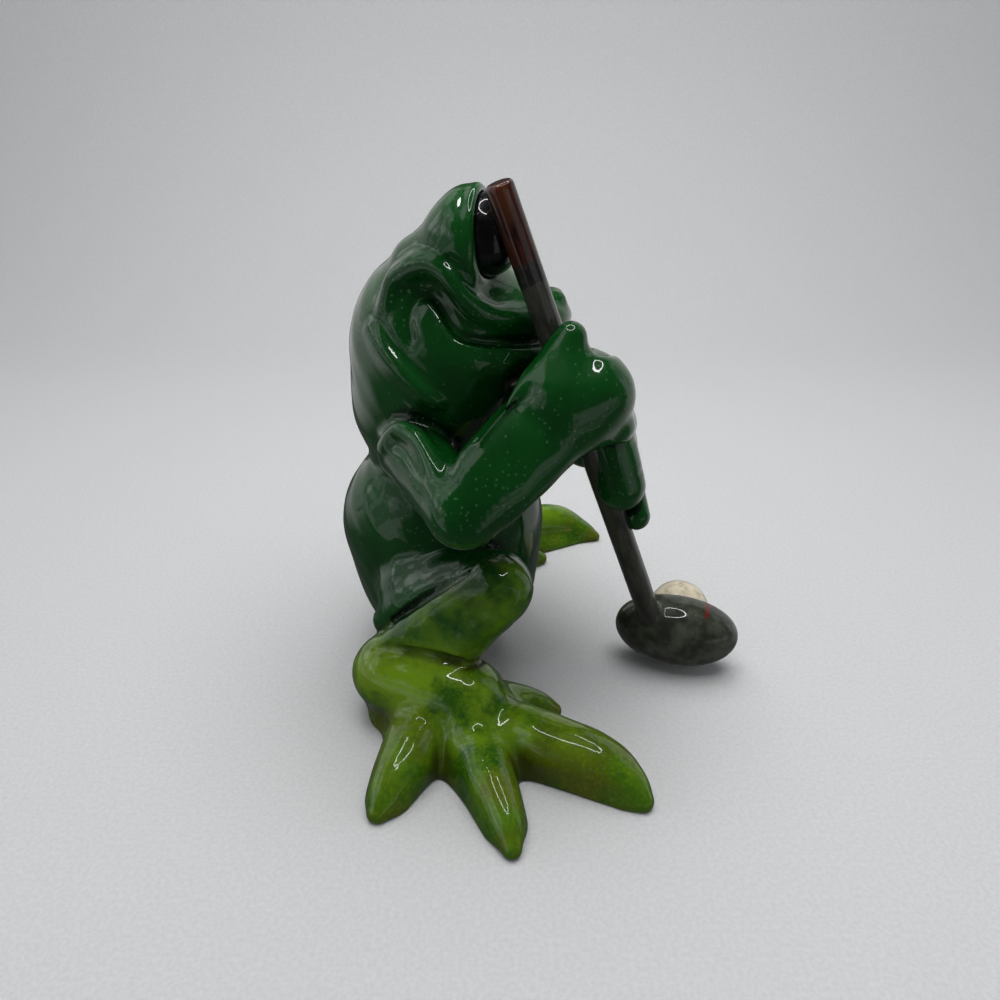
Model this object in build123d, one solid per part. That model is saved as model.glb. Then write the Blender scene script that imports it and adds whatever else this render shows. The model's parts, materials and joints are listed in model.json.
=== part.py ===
from build123d import *
import os
from math import asin, cos, degrees, radians, sin

# Frog figurine holding a putter. Millimetres, +Z up, the frog looks along +X and its left is +Y.
# "forward", "out" and "up" are distances from the point on the floor under the body's middle.

# Torso: oval slices from the seat up to the top of the chest, which the head covers.
# Each row of shares is height, middle of the slice forward of the axis, half length, half width.
torso_forward = -18.0
torso_height = 92.0
torso_half_length = 32.0
torso_half_width = 26.5
torso_seat_gap = 2.5
torso_slice_shares = [
    (0.00, 0.02, 0.42, 0.42),
    (0.05, 0.02, 0.60, 0.62),
    (0.12, 0.02, 0.76, 0.78),
    (0.28, 0.02, 0.94, 0.96),
    (0.46, 0.01, 1.00, 1.00),
    (0.60, -0.02, 0.93, 0.93),
    (0.72, -0.08, 0.66, 0.84),
    (0.84, -0.06, 0.62, 0.84),
    (1.00, -0.04, 0.50, 0.62),
]

# Head, modelled upright and then tipped to the frog's left about a point in its middle
head_tip = 7.0
tip_up = 110.0
skull_forward = -15.5
skull_up = 105.0
skull_radius = 28.0
skull_half_height = 31.0
nape_forward = -21.5
nape_drop = 17.0
nape_radius = 22.5
snout_forward = 0.5
snout_up = 112.5
snout_radius = 20.0
snout_half_height = 12.0
dome_forward = -7.3
dome_out = 15.6
dome_up = 137.5
dome_radius = 11.0
dome_foot_drop = 12.0
dome_foot_radius = 12.5
# Rolls and grooves of the face, each a row of forward, out and up shares of the skull's size
lip_roll_radius = 3.4
lip_roll_shares = [(-0.56, 0.58, 0.36), (-0.52, 0.58, 0.60), (-0.27, 0.62, 0.77), (0.11, 0.82, 0.75),
                   (0.38, 0.78, 0.50), (0.73, 0.59, 0.32)]
lower_lip_radius = 5.2
lower_lip_shares = [(-0.11, 0.74, 0.27), (0.27, 0.72, 0.00), (0.84, 0.47, -0.04), (1.09, 0.00, -0.02)]
mouth_radius = 1.4
mouth_shares = [(-0.07, 0.85, 0.54), (0.15, 0.90, 0.33), (0.36, 0.87, 0.18), (0.73, 0.69, 0.15), (1.12, 0.34, 0.15),
                (1.23, 0.00, 0.15)]
eye_groove_radius = 2.4
eye_groove_shares = [(0.14, 0.94, 0.90), (0.36, 0.93, 0.70), (0.57, 0.74, 0.59), (0.71, 0.60, 0.63)]
cheek_hollow_radius = 2.6
cheek_hollow_shares = [(-0.39, 0.88, 0.42), (-0.11, 0.88, 0.65), (0.21, 0.93, 0.44)]
eye_proud = 3.0
eye_drop = 0.8
eye_radius = 9.6

# Right arm: its forearm is raised to the upper fist. A seam crosses each forearm at a share of it.
right_seam_share = 0.62
right_shoulder_forward = -26.0
right_shoulder_out = 24.0
right_shoulder_drop = 7.0
right_shoulder_radius = 9.0
right_elbow_forward = -9.0
right_elbow_out = 45.0
right_elbow_up = 77.0
right_elbow_radius = 11.0
right_wrist_forward = 19.0
right_wrist_out = 31.0
right_wrist_up = 98.0
right_wrist_radius = 11.5

# Left arm: it reaches across to the lower fist
left_seam_share = 0.68
left_shoulder_forward = -26.0
left_shoulder_out = 24.0
left_shoulder_drop = 7.0
left_shoulder_radius = 9.0
left_elbow_forward = -2.0
left_elbow_out = 43.0
left_elbow_up = 74.0
left_elbow_radius = 11.0
left_wrist_forward = 27.0
left_wrist_out = 3.0
left_wrist_up = 74.0
left_wrist_radius = 8.5

# Putter
rod_radius = 3.3
rod_top_forward = 0.0
rod_top_side = -24.0
rod_top_up = 151.0
rod_foot_forward = 49.0
rod_foot_side = -13.2
rod_foot_up = 19.0
rod_neck_radius = 2.1
grip_length = 18.5
grip_wall = 1.35
band_length = 5.5
band_wall = 1.25
tenon_radius = 2.6
tenon_length = 9.0
club_forward = 58.6
club_side = -9.7
club_turn = 15.7
club_half_length = 20.0
club_radius = 12.0
club_face_depth = 3.9
ball_radius = 10.2
ball_seat = 0.1

# Right fist: a palm, digits wrapped round the rod and a thumb
right_grip_up = 100.0
palm_forward = 3.5
right_palm_side = 7.5
right_palm_radius = 10.4
right_palm_half_length = 2.5
right_digit_radius = 4.6
right_digit_pitch = 7.4
right_digit_count = 3
digit_forward = 8.5
digit_start_side = 6.0
digit_end_forward = 4.6
digit_end_side = 6.4
digit_fall = 1.5
digit_taper_share = 0.88
thumb_radius = 7.6
thumb_tip_radius = 4.3
thumb_rise = 15.6
thumb_start_rise = 3.5
thumb_side = 6.0
thumb_back = 7.0
thumb_forward = 5.0

# Left fist: the fingers laid along the rod, the heel of the hand behind them, and the small finger below
left_fingers_top_up = 87.0
left_fingers_foot_up = 68.8
left_fingers_forward = 5.6
left_fingers_side = 2.0
left_fingers_radius = 7.4
left_heel_top_up = 78.0
left_heel_foot_up = 66.0
left_heel_forward = 4.6
left_heel_side = 10.2
left_heel_radius = 7.7
small_finger_top_up = 63.0
small_finger_foot_up = 57.4
small_finger_forward = 6.6
small_finger_start_side = 8.8
small_finger_end_side = 1.3
small_finger_radius = 4.7

# Legs, alike on both sides
hip_forward = -23.0
hip_out = 20.0
hip_up = 33.0
hip_radius = 14.0
knee_forward = 0.5
knee_out = 39.0
knee_up = 48.0
knee_radius = 9.0
thigh_end_radius = 8.4
thigh_inset = 2.0
ankle_forward = -36.0
ankle_out = 34.0
ankle_up = 15.0
ankle_radius = 8.0
calf_top_drop = 5.0
calf_foot_forward = -22.5
calf_foot_out = 36.0
calf_foot_up = 17.0
calf_top_radius = 8.3
calf_foot_radius = 10.2

# Feet. Each toe runs from its root to its tip. The left foot's two front toes point straighter ahead.
heel_forward = -36.5
heel_out = 32.5
heel_up = 7.5
heel_radius = 7.6
instep_forward = -9.0
instep_out = 51.0
instep_up = 4.5
instep_radius = 12.0
toe_root_up = 5.0
toe_root_radius = 9.0
toe_tip_up = 3.5
outer_toe_root_forward = -20.0
outer_toe_root_out = 48.0
outer_toe_tip_forward = -31.5
outer_toe_tip_out = 73.0
outer_toe_tip_radius = 5.0
long_toe_root_forward = -8.0
long_toe_root_out = 50.0
long_toe_tip_forward = 3.0
long_toe_tip_out = 86.0
long_toe_tip_radius = 4.6
front_toe_root_forward = -6.0
front_toe_root_out = 48.0
front_toe_bend_forward = 20.0
front_toe_bend_out = 61.5
front_toe_bend_up = 6.5
front_toe_bend_radius = 8.8
front_toe_tip_forward = 38.0
front_toe_tip_out = 70.0
front_toe_tip_radius = 4.5
left_front_toe_root_out = 58.0
left_front_toe_bend_out = 73.5
left_front_toe_tip_out = 70.5
inner_toe_root_forward = -14.0
inner_toe_root_out = 40.0
inner_toe_tip_forward = 15.0
inner_toe_tip_out = 36.0
inner_toe_tip_radius = 4.5
left_inner_toe_tip_out = 51.0

# Dowels
dowel_radius = 2.0
neck_dowel_radius = 3.5
ball_dowel_radius = 1.5
dowel_clearance = 0.1
shoulder_seam_forward = -22.0
shoulder_seam_out = 22.5
shoulder_seam_drop = 12.0
neck_dowel_half_length = 15.0
shoulder_dowel_half_length = 8.0
wrist_dowel_half_length = 7.0
hip_dowel_half_length = 7.0
ankle_dowel_half_length = 8.0
ball_dowel_half_length = 5.0

# Round ends that meet at a joint differ by this share, so that their surfaces cross cleanly
joint_share = 0.985
overrun = 30.0

RIGHT = -1
LEFT = 1
FORWARD = Vector(1, 0, 0)
UP = Vector(0, 0, 1)


def place(forward, out, up, side=LEFT):
    """A point of the figure: out is measured away from the middle, towards the given side."""
    return Vector(forward, side * out, up)


def egg(centre, half_length, radius, axis):
    """A ball drawn out or flattened along one axis: an ellipse turned about it."""
    profile = [
        EllipticalCenterArc((0, 0), radius, half_length, start_angle=-90, arc_size=180),
        Line((0, half_length), (0, -half_length)),
    ]
    half_section = Plane.XZ * make_face(profile)
    return Plane(origin=centre, z_dir=axis) * revolve(half_section, Axis.Z)


def globe(centre, radius):
    return Pos(*centre) * Sphere(radius)


def capsule(start, end, start_radius, end_radius):
    """A tapering limb with round ends, turned about the line between its two joints."""
    line = end - start
    lean = asin((start_radius - end_radius) / line.length)

    def on_start(angle):
        return (start_radius * cos(angle), start_radius * sin(angle))

    def on_end(angle):
        return (end_radius * cos(angle), line.length + end_radius * sin(angle))

    low = radians(-90)
    high = radians(90)
    profile = [
        ThreePointArc(on_start(low), on_start((low + lean) / 2), on_start(lean)),
        Line(on_start(lean), on_end(lean)),
        ThreePointArc(on_end(lean), on_end((high + lean) / 2), on_end(high)),
        Line(on_end(high), on_start(low)),
    ]
    half_section = Plane.XZ * make_face(profile)
    return Plane(origin=start, z_dir=line) * revolve(half_section, Axis.Z)


def limb(joints, radii):
    """Capsules from joint to joint, fused."""
    body = capsule(joints[0], joints[1], radii[0], radii[1])
    for here in range(1, len(joints) - 1):
        stretch = capsule(joints[here], joints[here + 1], radii[here] * joint_share, radii[here + 1])
        body = body + stretch
    return body


def rod(start, end, radius):
    """A plain round bar between two points."""
    line = end - start
    bar = Cylinder(radius, line.length, align=(Align.CENTER, Align.CENTER, Align.MIN))
    return Plane(origin=start, z_dir=line) * bar


def dowel(middle, direction, half_length, radius):
    """A dowel and the hole that takes it, centred on the seam that it crosses."""
    reach = direction.normalized() * half_length
    slack = direction.normalized() * dowel_clearance
    pin = rod(middle - reach, middle + reach, radius)
    hole = rod(middle - reach - slack, middle + reach + slack, radius + dowel_clearance)
    return pin, hole


def tipped(body):
    """Tips a head piece about the line through the head's middle."""
    pivot = Pos(0, 0, tip_up)
    return pivot * Rot(X=-head_tip) * pivot.inverse() * body


# The putter's own line, from its foot to its top
rod_top = Vector(rod_top_forward, rod_top_side, rod_top_up)
rod_foot = Vector(rod_foot_forward, rod_foot_side, rod_foot_up)
rod_way = (rod_top - rod_foot).normalized()

# The club head lies turned a little: its length and the way that its flat face looks
club_middle = Vector(club_forward, club_side, club_radius)
club_way = FORWARD.rotate(Axis.Z, -club_turn)
face_way = Vector(0, 1, 0).rotate(Axis.Z, -club_turn)


def on_rod(up):
    """The point of the putter's line at this height."""
    return rod_foot + rod_way * ((up - rod_foot_up) / rod_way.Z)


def make_torso():
    slices = []
    for height, shift, length, width in torso_slice_shares:
        middle = torso_forward + shift * torso_half_length
        up = torso_seat_gap + height * (torso_height - torso_seat_gap)
        oval = Ellipse(length * torso_half_length, width * torso_half_width)
        slices.append(Pos(middle, 0, up) * oval)
    return loft(slices)


def face_roll(shares, radius, side):
    """A round roll of skin, or the tool for a groove, from point to point of the face."""
    joints = []
    for forward, out, up in shares:
        joints.append(place(skull_forward + forward * skull_radius, out * skull_radius,
                            skull_up + up * skull_half_height, side))
    return limb(joints, [radius] * len(joints))


def make_head():
    head = egg((skull_forward, 0, skull_up), skull_half_height, skull_radius, UP)
    head = head + egg((snout_forward, 0, snout_up), snout_half_height, snout_radius, UP)
    for side in (RIGHT, LEFT):
        crown = place(dome_forward, dome_out, dome_up, side)
        head = head + capsule(crown - UP * dome_foot_drop, crown, dome_foot_radius, dome_radius)
        head = head + face_roll(lip_roll_shares, lip_roll_radius, side)
        head = head + face_roll(lower_lip_shares, lower_lip_radius, side)
        head = head - face_roll(eye_groove_shares, eye_groove_radius, side)
        head = head - face_roll(cheek_hollow_shares, cheek_hollow_radius, side)
        head = head - face_roll(mouth_shares, mouth_radius, side)
    return tipped(head) + globe((nape_forward, 0, skull_up - nape_drop), nape_radius)


def make_eye(side):
    centre = (dome_forward + eye_proud, side * dome_out, dome_up - eye_drop)
    return tipped(globe(centre, eye_radius))


def make_right_arm():
    shoulder = place(right_shoulder_forward, right_shoulder_out, torso_height - right_shoulder_drop, RIGHT)
    elbow = place(right_elbow_forward, right_elbow_out, right_elbow_up, RIGHT)
    wrist = place(right_wrist_forward, right_wrist_out, right_wrist_up, RIGHT)
    return limb([shoulder, elbow, wrist], [right_shoulder_radius, right_elbow_radius, right_wrist_radius])


def make_left_arm():
    shoulder = place(left_shoulder_forward, left_shoulder_out, torso_height - left_shoulder_drop, LEFT)
    elbow = place(left_elbow_forward, left_elbow_out, left_elbow_up, LEFT)
    wrist = place(left_wrist_forward, left_wrist_out, left_wrist_up, LEFT)
    return limb([shoulder, elbow, wrist], [left_shoulder_radius, left_elbow_radius, left_wrist_radius])


def beside_rod(up, forward, side):
    """A point at this height, so far in front of the putter's line and to its left."""
    return on_rod(up) + Vector(forward, side, 0)


def make_right_hand():
    centre = beside_rod(right_grip_up, palm_forward, RIGHT * right_palm_side)
    reach = rod_way * right_palm_half_length
    hand = capsule(centre - reach, centre + reach, right_palm_radius, right_palm_radius)
    for number in range(right_digit_count):
        up = right_grip_up + right_digit_pitch * ((right_digit_count - 1) / 2 - number)
        knuckle = beside_rod(up, digit_forward, RIGHT * digit_start_side)
        tip = beside_rod(up, digit_end_forward, LEFT * digit_end_side) - UP * digit_fall
        hand = hand + capsule(knuckle, tip, right_digit_radius, right_digit_radius * digit_taper_share)
    start = centre + Vector(-thumb_back, 0, thumb_start_rise)
    end = beside_rod(right_grip_up + thumb_rise, thumb_forward, RIGHT * thumb_side)
    return hand + capsule(start, end, thumb_radius, thumb_tip_radius)


def make_left_hand():
    top = beside_rod(left_fingers_top_up, left_fingers_forward, left_fingers_side)
    foot = beside_rod(left_fingers_foot_up, left_fingers_forward, left_fingers_side)
    hand = capsule(foot, top, left_fingers_radius, left_fingers_radius)
    top = beside_rod(left_heel_top_up, left_heel_forward, left_heel_side)
    foot = beside_rod(left_heel_foot_up, left_heel_forward, left_heel_side)
    hand = hand + capsule(foot, top, left_heel_radius, left_heel_radius)
    start = beside_rod(small_finger_top_up, small_finger_forward, small_finger_start_side)
    end = beside_rod(small_finger_foot_up, small_finger_forward, small_finger_end_side)
    return hand + capsule(start, end, small_finger_radius, small_finger_radius * digit_taper_share)


def make_leg(side):
    hip = place(hip_forward, hip_out, hip_up, side)
    thigh_end = place(knee_forward, knee_out - thigh_inset, knee_up, side)
    knee = place(knee_forward, knee_out, knee_up, side)
    ankle = place(ankle_forward, ankle_out, ankle_up, side)
    thigh = capsule(hip, thigh_end, hip_radius, thigh_end_radius)
    calf_foot = place(calf_foot_forward, calf_foot_out, calf_foot_up, side)
    calf = capsule(knee - UP * calf_top_drop, calf_foot, calf_top_radius, calf_foot_radius)
    return thigh + capsule(knee, ankle, knee_radius, ankle_radius) + calf


def make_foot(side):
    heel = place(heel_forward, heel_out, heel_up, side)
    instep = place(instep_forward, instep_out, instep_up, side)
    foot = capsule(heel, instep, heel_radius, instep_radius)
    outer_root = place(outer_toe_root_forward, outer_toe_root_out, toe_root_up, side)
    outer_tip = place(outer_toe_tip_forward, outer_toe_tip_out, toe_tip_up, side)
    foot = foot + capsule(outer_root, outer_tip, toe_root_radius, outer_toe_tip_radius)
    long_root = place(long_toe_root_forward, long_toe_root_out, toe_root_up, side)
    long_tip = place(long_toe_tip_forward, long_toe_tip_out, toe_tip_up, side)
    foot = foot + capsule(long_root, long_tip, toe_root_radius, long_toe_tip_radius)
    root_out = front_toe_root_out if side == RIGHT else left_front_toe_root_out
    front_root = place(front_toe_root_forward, root_out, toe_root_up, side)
    bend_out = front_toe_bend_out if side == RIGHT else left_front_toe_bend_out
    tip_out = front_toe_tip_out if side == RIGHT else left_front_toe_tip_out
    front_bend = place(front_toe_bend_forward, bend_out, front_toe_bend_up, side)
    front_tip = place(front_toe_tip_forward, tip_out, toe_tip_up, side)
    front_radii = [toe_root_radius, front_toe_bend_radius, front_toe_tip_radius]
    foot = foot + limb([front_root, front_bend, front_tip], front_radii)
    inner_root = place(inner_toe_root_forward, inner_toe_root_out, toe_root_up, side)
    inner_out = inner_toe_tip_out if side == RIGHT else left_inner_toe_tip_out
    inner_tip = place(inner_toe_tip_forward, inner_out, toe_tip_up, side)
    foot = foot + capsule(inner_root, inner_tip, toe_root_radius, inner_toe_tip_radius)
    floor = Pos(instep_forward, side * instep_out, 0) * Box(
        4 * overrun, 4 * overrun, overrun, align=(Align.CENTER, Align.CENTER, Align.MAX))
    return foot - floor


def make_rod_pieces():
    """Shaft, grip and band on one line. The shaft is thinner where grip and band sleeve it."""
    grip_foot = rod_top - rod_way * grip_length
    band_foot = grip_foot - rod_way * band_length
    neck_top = rod_top - rod_way * grip_wall
    shaft = rod(rod_foot, band_foot, rod_radius) + rod(band_foot, neck_top, rod_neck_radius)
    shaft = shaft + rod(rod_foot - rod_way * tenon_length, rod_foot, tenon_radius)
    neck_hole = rod(band_foot, neck_top, rod_neck_radius)
    grip = rod(grip_foot, rod_top, rod_neck_radius + grip_wall) - neck_hole
    band = rod(band_foot, grip_foot, rod_neck_radius + band_wall) - neck_hole
    return shaft, grip, band


def make_club_head():
    """A long egg with the far side cut flat as the striking face."""
    club = egg(club_middle, club_half_length, club_radius, club_way)
    face = Plane(origin=club_middle + face_way * club_face_depth, z_dir=face_way)
    return split(club, bisect_by=face, keep=Keep.BOTTOM)


def make_ball():
    """The ball stands on the floor, against the face."""
    centre = club_middle + face_way * (club_face_depth + ball_seat + ball_radius)
    return Pos(centre.X, centre.Y, ball_radius) * Sphere(ball_radius)


def parted(body, start, end, share):
    """Saws a limb across at a share of the way from start to end. Returns the near and far pieces."""
    seam = Plane(origin=start + (end - start) * share, z_dir=end - start)
    near = split(body, bisect_by=seam, keep=Keep.BOTTOM)
    far = split(body, bisect_by=seam, keep=Keep.TOP)
    return near, far, seam


pieces = {}
holes = {}


def pin(name, middle, direction, half_length, radius, into):
    """Adds a dowel, and its hole to each piece that it goes into."""
    pieces[name], hole = dowel(middle, direction, half_length, radius)
    for target in into:
        holes.setdefault(target, []).append(hole)


shaft, grip, band = make_rod_pieces()
torso = make_torso()
eyes = {RIGHT: make_eye(RIGHT), LEFT: make_eye(LEFT)}
head = make_head() - torso - eyes[RIGHT] - eyes[LEFT] - shaft - grip - band
pieces["torso"] = torso
pieces["head"] = head
pieces["right_eye"] = eyes[RIGHT] - grip - band - shaft
pieces["left_eye"] = eyes[LEFT]
neck_seam = Vector(torso_forward, 0, torso_height)
pin("neck_pin", neck_seam, Vector(0, 0, 1), neck_dowel_half_length, neck_dowel_radius, ["torso", "head"])

right_elbow = place(right_elbow_forward, right_elbow_out, right_elbow_up, RIGHT)
right_wrist = place(right_wrist_forward, right_wrist_out, right_wrist_up, RIGHT)
right_limb = (make_right_arm() + make_right_hand()) - torso - head - shaft - grip - band
right_arm, right_hand, right_seam = parted(right_limb, right_elbow, right_wrist, right_seam_share)
pieces["right_arm"] = right_arm
pieces["right_hand"] = right_hand
pin("right_wrist_pin", right_seam.origin, right_seam.z_dir, wrist_dowel_half_length, dowel_radius,
    ["right_arm", "right_hand"])

left_elbow = place(left_elbow_forward, left_elbow_out, left_elbow_up, LEFT)
left_wrist = place(left_wrist_forward, left_wrist_out, left_wrist_up, LEFT)
left_limb = (make_left_arm() + make_left_hand()) - torso - head - shaft - grip - band - right_limb
left_arm, left_hand, left_seam = parted(left_limb, left_elbow, left_wrist, left_seam_share)
pieces["left_arm"] = left_arm
pieces["left_hand"] = left_hand
pin("left_wrist_pin", left_seam.origin, left_seam.z_dir, wrist_dowel_half_length, dowel_radius,
    ["left_arm", "left_hand"])

for side, hand in ((RIGHT, "right"), (LEFT, "left")):
    seam_up = torso_height - shoulder_seam_drop
    shoulder_seam = place(shoulder_seam_forward, shoulder_seam_out, seam_up, side)
    pin(hand + "_shoulder_pin", shoulder_seam, Vector(0, side, 0), shoulder_dowel_half_length,
        dowel_radius, ["torso", "head", hand + "_arm"])
    foot = make_foot(side)
    leg = make_leg(side) - torso - foot
    pieces[hand + "_leg"] = leg
    pieces[hand + "_foot"] = foot - torso
    hip_seam = place(hip_forward, torso_half_width, hip_up, side)
    pin(hand + "_hip_pin", hip_seam, Vector(0, side, 0), hip_dowel_half_length, dowel_radius,
        ["torso", hand + "_leg"])
    ankle_seam = place(ankle_forward, ankle_out, heel_up + heel_radius, side)
    pin(hand + "_ankle_pin", ankle_seam, Vector(0, 0, 1), ankle_dowel_half_length, dowel_radius,
        [hand + "_leg", hand + "_foot"])

pieces["club_shaft"] = shaft
pieces["club_grip"] = grip
pieces["grip_band"] = band
pieces["club_head"] = make_club_head() - shaft
pieces["golf_ball"] = make_ball()
face_middle = club_middle + face_way * club_face_depth
ball_seam = Vector(face_middle.X, face_middle.Y, ball_radius)
pin("ball_pin", ball_seam, face_way, ball_dowel_half_length, ball_dowel_radius, ["club_head", "golf_ball"])

for name, cuts in holes.items():
    for hole in cuts:
        pieces[name] = pieces[name] - hole

# The origin is on the floor under the middle of the whole figure
all_solids = [solid for body in pieces.values() for solid in body.solids()]
whole = Compound(all_solids).bounding_box()
to_origin = Pos(-whole.center().X, -whole.center().Y, 0)
print("origin is at forward", round(whole.center().X, 2), "side", round(whole.center().Y, 2))

os.makedirs("parts", exist_ok=True)
for name, body in pieces.items():
    export_step(to_origin * body, "parts/" + name + ".step")
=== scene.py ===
# %% [markdown]
# # A lacquered frog that putts
# The figurine is one smooth casting: a frog that squats on broad feet and holds a putter in both
# fists. It is painted in emerald and lime and dipped in clear lacquer. Every edge is soft, so box
# modelling would fight the shape. The forms are added and carved as clay would be, with distance
# functions, and the skin is then drawn over them as a mesh.

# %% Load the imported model
import bpy
import json
import math
import numpy as np
from collections import Counter
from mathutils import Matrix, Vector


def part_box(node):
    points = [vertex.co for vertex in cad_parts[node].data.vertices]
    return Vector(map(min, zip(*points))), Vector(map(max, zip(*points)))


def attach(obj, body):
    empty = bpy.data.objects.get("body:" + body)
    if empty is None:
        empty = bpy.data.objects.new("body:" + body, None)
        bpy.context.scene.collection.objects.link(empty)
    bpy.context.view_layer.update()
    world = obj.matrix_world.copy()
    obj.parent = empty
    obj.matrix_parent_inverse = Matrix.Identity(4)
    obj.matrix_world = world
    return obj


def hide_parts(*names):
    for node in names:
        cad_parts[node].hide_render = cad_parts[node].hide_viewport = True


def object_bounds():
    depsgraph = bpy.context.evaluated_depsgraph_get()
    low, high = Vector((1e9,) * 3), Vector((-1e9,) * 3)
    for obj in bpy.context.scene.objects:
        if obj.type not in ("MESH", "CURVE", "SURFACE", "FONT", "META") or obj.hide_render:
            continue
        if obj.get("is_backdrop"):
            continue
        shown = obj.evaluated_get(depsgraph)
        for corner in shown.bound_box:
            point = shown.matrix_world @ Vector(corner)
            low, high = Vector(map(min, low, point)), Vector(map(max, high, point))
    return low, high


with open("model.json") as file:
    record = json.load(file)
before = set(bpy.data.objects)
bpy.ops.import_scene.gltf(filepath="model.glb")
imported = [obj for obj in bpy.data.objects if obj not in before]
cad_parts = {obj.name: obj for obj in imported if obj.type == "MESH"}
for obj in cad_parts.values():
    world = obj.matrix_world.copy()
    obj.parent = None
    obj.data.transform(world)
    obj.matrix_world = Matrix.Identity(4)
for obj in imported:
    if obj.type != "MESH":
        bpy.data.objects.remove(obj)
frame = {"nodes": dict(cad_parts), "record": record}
cad_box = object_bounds()
print("nodes", len(frame["nodes"]), "box", [[round(v, 4) for v in corner] for corner in cad_box])

# %% [markdown]
# The forms are measured in millimetres from the point on the floor under the frog's middle, as its
# maker would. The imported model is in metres, and its origin is under the middle of the whole
# figure. The ball tells how far the two origins are apart: it has the same place in both.

# %% Scale and shift between clay and model
MM = 0.001
CLUB_MIDDLE = (58.6, -9.7, 12.0)
CLUB_TURN = math.radians(-15.7)
CLUB_FACE = 3.9
BALL_GAP = 0.1
BALL_RADIUS = 10.2
ball_reach = CLUB_FACE + BALL_GAP + BALL_RADIUS
ball_middle = (CLUB_MIDDLE[0] - math.sin(CLUB_TURN) * ball_reach,
               CLUB_MIDDLE[1] + math.cos(CLUB_TURN) * ball_reach, BALL_RADIUS)
ball_low, ball_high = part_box("golf_ball")
SHIFT = (ball_low[0] + ball_high[0]) / 2 - ball_middle[0] * MM
print("the model's origin is", round(-SHIFT / MM, 2), "mm in front of the frog's")

# %% [markdown]
# ## Clay tools
# A form answers one question: how far is this point from my surface, with less than nothing
# inside? Eggs, tapered limbs and round cords are enough for a frog. Each form also keeps a ball
# that holds it, so that far points can skip it.

# %% Turning, and the form itself
ENDLESS = 1e6


def vec(*numbers):
    return np.array(numbers, np.float32)


def turning(degrees):
    """A matrix that turns about X, then Y, then Z."""
    ax, ay, az = np.radians(degrees)
    about_x = np.array([[1, 0, 0], [0, np.cos(ax), -np.sin(ax)], [0, np.sin(ax), np.cos(ax)]])
    about_y = np.array([[np.cos(ay), 0, np.sin(ay)], [0, 1, 0], [-np.sin(ay), 0, np.cos(ay)]])
    about_z = np.array([[np.cos(az), -np.sin(az), 0], [np.sin(az), np.cos(az), 0], [0, 0, 1]])
    return (about_z @ about_y @ about_x).astype(np.float32)


def lengths(rows):
    return np.sqrt((rows * rows).sum(1))


class Form:
    def __init__(self, measure, centre, reach):
        self.measure = measure
        self.centre = np.asarray(centre, np.float32)
        self.reach = reach


# %% Eggs and limbs
def egg(centre, half, turn=(0, 0, 0)):
    """A ball with three half lengths, turned in place."""
    c, h, m = vec(*centre), vec(*half), turning(turn)

    def measure(p):
        q = (p - c) @ m
        near = lengths(q / h)
        return near * (near - 1) / (lengths(q / h ** 2) + 1e-9)
    return Form(measure, c, max(half))


def limb(a, b, ra, rb):
    """Two balls and the cone that wraps them."""
    a, b = vec(*a), vec(*b)
    line = b - a
    whole = float(line @ line)
    taper = ra - rb
    wrap = whole - taper * taper

    def measure(p):
        from_a = p - a
        y = from_a @ line
        z = y - whole
        x2 = ((from_a * whole - y[:, None] * line) ** 2).sum(1)
        y2 = y * y * whole
        z2 = z * z * whole
        k = np.sign(taper) * taper * taper * x2
        d = (np.sqrt(x2 * wrap / whole) + y * taper) / whole - ra
        d = np.where(np.sign(y) * wrap * y2 < k, np.sqrt(x2 + y2) / whole - ra, d)
        return np.where(np.sign(z) * wrap * z2 > k, np.sqrt(x2 + z2) / whole - rb, d)
    return Form(measure, (a + b) / 2, math.sqrt(whole) / 2 + max(ra, rb))


# %% Cords along a smooth curve
def smooth_row(points, steps):
    """More points on a curve that passes through the given ones."""
    p = np.asarray(points, float)
    p = np.vstack([2 * p[0] - p[1], p, 2 * p[-1] - p[-2]])
    row = []
    for i in range(1, len(p) - 2):
        t = np.linspace(0, 1, steps, endpoint=False)[:, None]
        row.append(0.5 * (2 * p[i] + (p[i + 1] - p[i - 1]) * t
                          + (2 * p[i - 1] - 5 * p[i] + 4 * p[i + 1] - p[i + 2]) * t ** 2
                          + (3 * p[i] - p[i - 1] - 3 * p[i + 1] + p[i + 2]) * t ** 3))
    row.append(p[-2][None])
    return np.vstack(row).astype(np.float32)


def cord(points, steps=5):
    """A round roll of clay: each point is x, y, z and the roll's radius there."""
    row = smooth_row(points, steps)
    middle = (row[:, :3].min(0) + row[:, :3].max(0)) / 2
    starts, lines = row[:-1, :3] - middle, np.diff(row[:, :3], axis=0)
    thick, widen = row[:-1, 3], np.diff(row[:, 3])
    squares = np.maximum((lines * lines).sum(1), 1e-9)

    def measure(p):
        q = p - middle
        along = q @ lines.T - (starts * lines).sum(1)
        t = np.clip(along / squares, 0, 1)
        apart = (q * q).sum(1)[:, None] - 2 * (q @ starts.T) + (starts * starts).sum(1)
        apart = np.sqrt(np.maximum(apart - t * (2 * along - t * squares), 0))
        return (apart - thick - t * widen).min(1)
    return Form(measure, middle, float(lengths(row[:, :3] - middle).max() + row[:, 3].max()))


# %% Rings, flattened forms and turned forms
def hoop(centre, axis, radius, thick, stretch):
    """A ring about an axis, drawn out upwards."""
    c = vec(*centre)
    a = vec(*axis) / np.linalg.norm(axis)
    up = vec(0, 0, 1) - a * a[2]
    up = up / np.linalg.norm(up)

    def measure(p):
        q = p - c
        along, rise = q @ a, q @ up
        flat = q - along[:, None] * a - rise[:, None] * up
        out = np.sqrt((flat * flat).sum(1) + (rise / stretch) ** 2) - radius
        return np.sqrt(out * out + along * along) - thick
    return Form(measure, c, radius * stretch + thick)


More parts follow.
